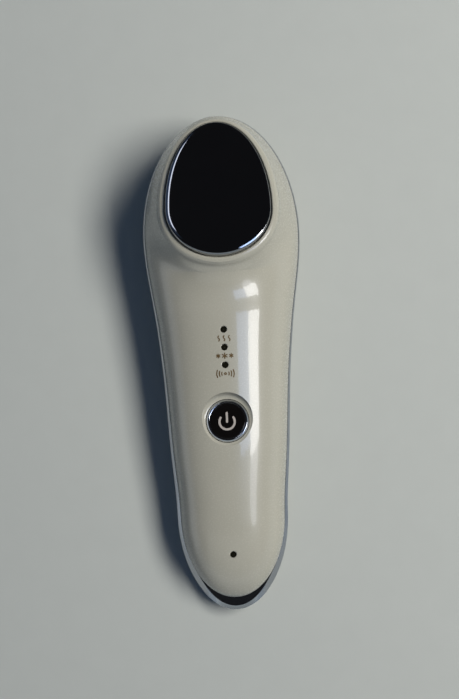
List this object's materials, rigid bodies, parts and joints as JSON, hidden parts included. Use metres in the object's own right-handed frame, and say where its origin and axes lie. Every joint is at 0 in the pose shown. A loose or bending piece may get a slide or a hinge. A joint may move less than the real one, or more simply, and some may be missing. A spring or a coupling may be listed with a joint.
{
  "type": "facial massager",
  "caption": "Handheld hot and cold facial massager with a contact plate, push button, mode lamps, fan-cooled module, vibration motor, battery and charge socket.",
  "frame": {"origin": "under the middle of its length and width, on the surface that its back lies on", "axes": "+X to its right seen from the front, +Y towards the head with the contact plate, +Z out of the front face"},
  "size_m": [0.052, 0.1659, 0.0402],
  "materials": {
    "pearl_shell": "pearl white gloss",
    "chrome_trim": "polished plating",
    "plate_mirror": "black mirror coating",
    "seal_rubber": "matt",
    "thermal_pad": "matt",
    "module_ceramic": "matt",
    "pellet_metal": "matt",
    "sensor_bead": "gloss",
    "sink_aluminium": "satin",
    "screw_steel": "zinc plated",
    "fan_plastic": "matt",
    "bush_brass": "plain",
    "stator_copper": "enamelled winding",
    "button_black": "piano black",
    "switch_body": "matt",
    "switch_plunger": "matt",
    "board_green": "solder mask",
    "chip_black": "matt",
    "led_body": "clear",
    "shield_white": "matt",
    "smoked_guide": "smoked clear",
    "motor_steel": "nickel plated",
    "cap_plastic": "matt",
    "weight_metal": "sintered",
    "boot_rubber": "matt",
    "battery_foil": "pouch foil",
    "foam_tape": "foam",
    "socket_steel": "stamped"
  },
  "bodies": {
    "casing": {"front_shell": "pearl_shell", "rear_shell": "pearl_shell", "side_band": "chrome_trim", "contact_plate": "plate_mirror", "plate_gasket": "seal_rubber", "thermal_pads": "thermal_pad", "module_ceramics": "module_ceramic", "module_pellets": "pellet_metal", "temperature_sensor": "sensor_bead", "heat_sink": "sink_aluminium", "heat_sink_screws": "screw_steel", "fan_frame": "fan_plastic", "fan_stator": "stator_copper", "fan_bush": "bush_brass", "fan_screws": "screw_steel", "tact_switch": "switch_body", "main_board": "board_green", "board_screws": "screw_steel", "control_chips": "chip_black", "indicator_leds": "led_body", "light_shield": "shield_white", "light_guide": "smoked_guide", "motor_can": "motor_steel", "motor_end_cap": "cap_plastic", "motor_boot": "boot_rubber", "battery": "battery_foil", "battery_tape": "foam_tape", "protection_board": "board_green", "charge_board": "board_green", "charge_board_screws": "screw_steel", "charge_led": "led_body", "charge_light_guide": "smoked_guide", "charge_socket": "socket_steel", "shell_screws": "screw_steel"},
    "button": {"button_ring": "chrome_trim", "button_cap": "button_black"},
    "plunger": {"switch_plunger": "switch_plunger"},
    "motor_rotor": {"motor_shaft": "motor_steel", "eccentric_weight": "weight_metal"},
    "fan_rotor": {"fan_impeller": "fan_plastic"}
  },
  "joints": [
    {"name": "button_press", "type": "slide", "parent": "casing", "child": "button", "axis": [0, 0, 1], "range_m": [-0.0005, 0], "stiffness_N_per_m": 2000},
    {"name": "plunger_press", "type": "slide", "parent": "casing", "child": "plunger", "axis": [0, 0, 1], "range_m": [-0.0005, 0]},
    {"name": "motor_spin", "type": "hinge", "parent": "casing", "child": "motor_rotor", "pos_m": [0, 0.0193, 0.007], "axis": [0, 1, 0], "continuous": true},
    {"name": "fan_spin", "type": "hinge", "parent": "casing", "child": "fan_rotor", "pos_m": [0, 0.053, 0.0148], "axis": [0, 0, 1], "continuous": true}
  ],
  "couplings": [
    {"joint": "plunger_press", "follows": "button_press", "ratio": 1}
  ]
}
